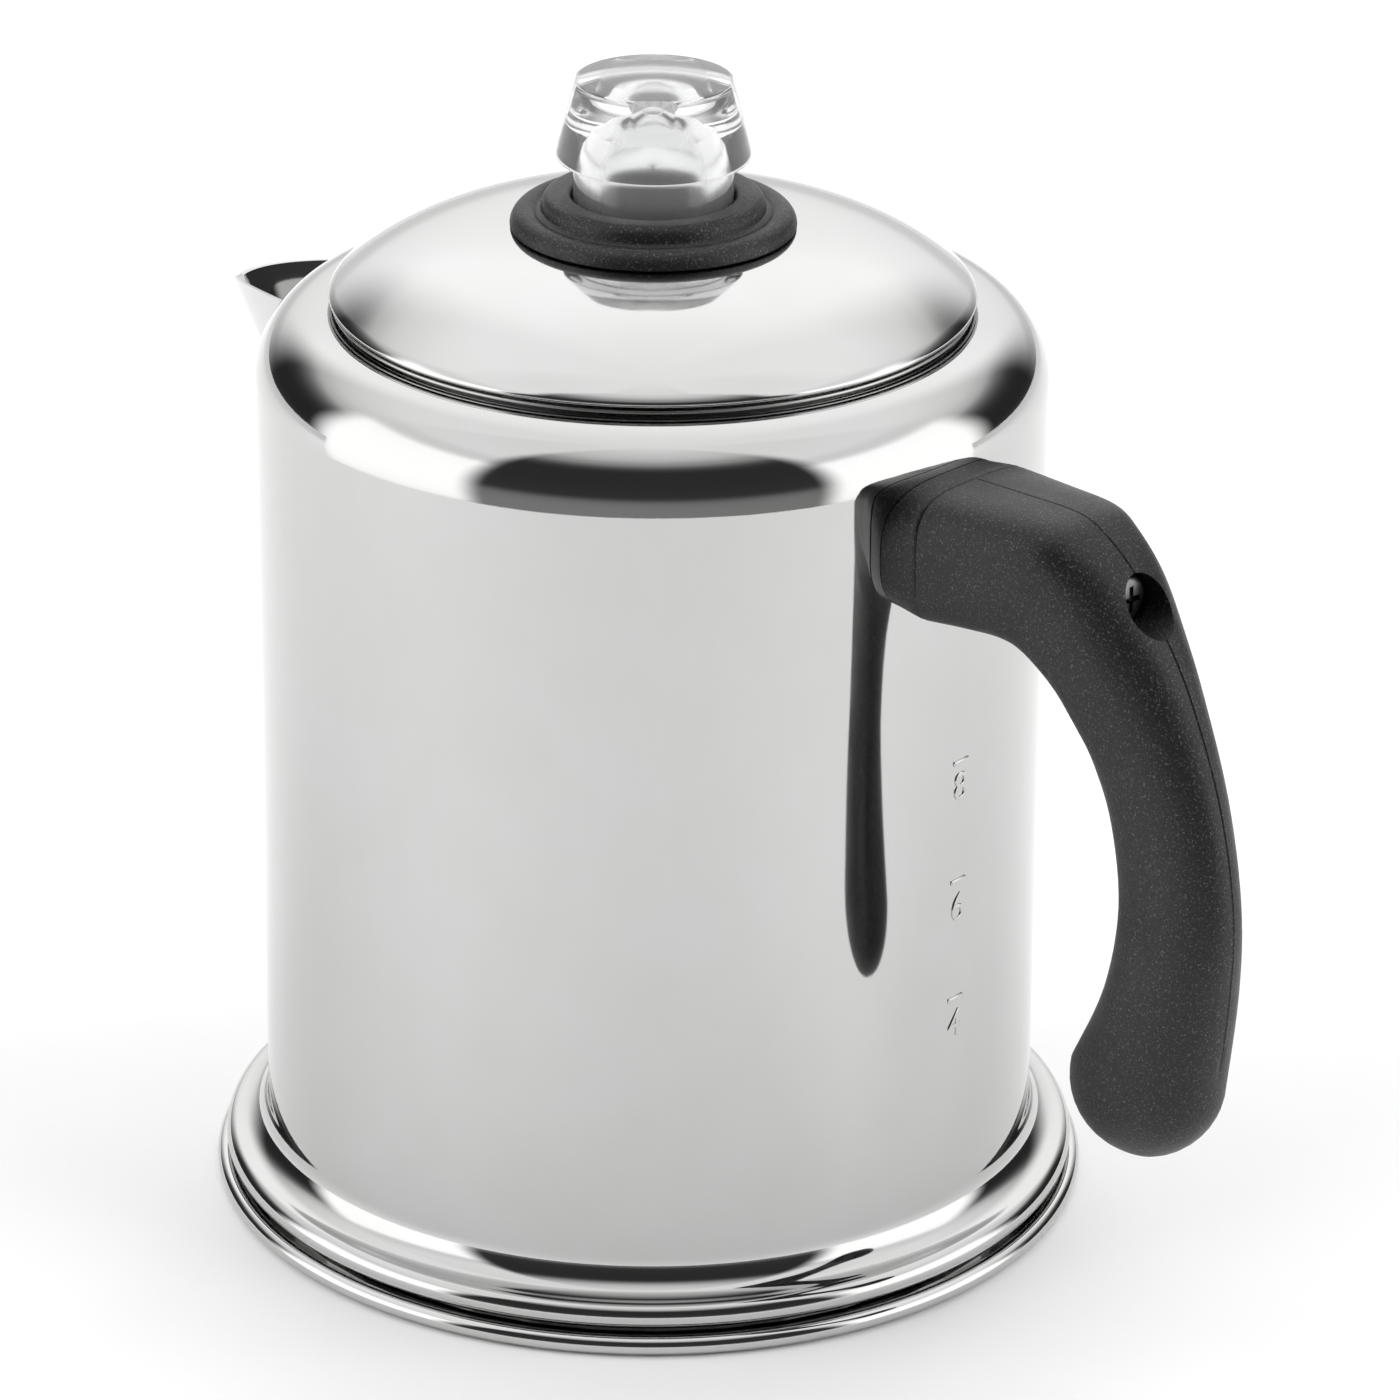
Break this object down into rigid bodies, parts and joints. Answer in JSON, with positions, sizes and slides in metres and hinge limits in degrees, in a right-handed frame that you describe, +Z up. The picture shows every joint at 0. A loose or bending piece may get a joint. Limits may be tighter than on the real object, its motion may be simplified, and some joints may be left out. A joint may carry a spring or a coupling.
{
  "type": "coffee percolator",
  "caption": "Stove-top coffee percolator: straight polished steel pot with beaded foot, beak spout, domed lid, clear glass knob, black side handle and lift-out brewing stack.",
  "frame": {"origin": "centre of the flat underside of the base, on the pot's axis", "axes": "+Z up along the pot's axis, +X from the axis towards the handle, -X towards the spout"},
  "size_m": [0.2343, 0.1546, 0.2024],
  "materials": {
    "pot_steel": "mirror-polished stainless steel with faint drawing marks",
    "base_steel": "polished stainless steel",
    "core_aluminium": "plain rolled aluminium",
    "inner_steel": "satin stainless steel",
    "spout_steel": "polished stainless steel sheet",
    "bracket_steel": "plain stainless steel strap",
    "ferrule_plastic": "black phenolic, fine satin texture",
    "grip_plastic": "black phenolic, fine moulded grain",
    "screw_steel": "dark zinc-plated steel",
    "stem_aluminium": "satin drawn aluminium",
    "valve_aluminium": "stamped aluminium",
    "basket_steel": "satin perforated stainless steel",
    "spreader_steel": "satin perforated stainless steel",
    "lid_steel": "mirror-polished stainless steel with faint spun marks",
    "collar_plastic": "black phenolic, satin",
    "clip_steel": "spring steel",
    "knob_glass": "clear pressed glass"
  },
  "bodies": {
    "pot": {"body_shell": "pot_steel", "base_cap": "base_steel", "base_core": "core_aluminium", "floor_pan": "inner_steel", "spout": "spout_steel", "handle_bracket": "bracket_steel", "handle_ferrule": "ferrule_plastic", "handle_grip": "grip_plastic", "handle_screw": "screw_steel", "screw_washer": "screw_steel"},
    "stem": {"pump_tube": "stem_aluminium", "pump_collar": "stem_aluminium", "pump_bell": "stem_aluminium"},
    "valve": {"valve_washer": "valve_aluminium"},
    "basket": {"basket_cup": "basket_steel", "basket_sleeve": "basket_steel"},
    "spreader": {"spreader_plate": "spreader_steel"},
    "lid": {"lid_dome": "lid_steel", "lid_skirt": "inner_steel", "lid_collar": "collar_plastic", "collar_clip": "clip_steel"},
    "knob": {"glass_knob": "knob_glass"}
  },
  "joints": [
    {"name": "stem_lift", "type": "slide", "parent": "pot", "child": "stem", "axis": [0, 0, 1], "range_m": [0, 0.165]},
    {"name": "valve_lift", "type": "slide", "parent": "stem", "child": "valve", "axis": [0, 0, 1], "range_m": [0, 0.003]},
    {"name": "basket_lift", "type": "slide", "parent": "stem", "child": "basket", "axis": [0, 0, 1], "range_m": [0, 0.075]},
    {"name": "spreader_lift", "type": "slide", "parent": "basket", "child": "spreader", "axis": [0, 0, 1], "range_m": [0, 0.04]},
    {"name": "lid_lift", "type": "slide", "parent": "spreader", "child": "lid", "axis": [0, 0, 1], "range_m": [0, 0.06]},
    {"name": "knob_turn", "type": "hinge", "parent": "lid", "child": "knob", "pos_m": [0, 0, 0.1716], "axis": [0, 0, 1], "range_deg": [0, 90]}
  ]
}
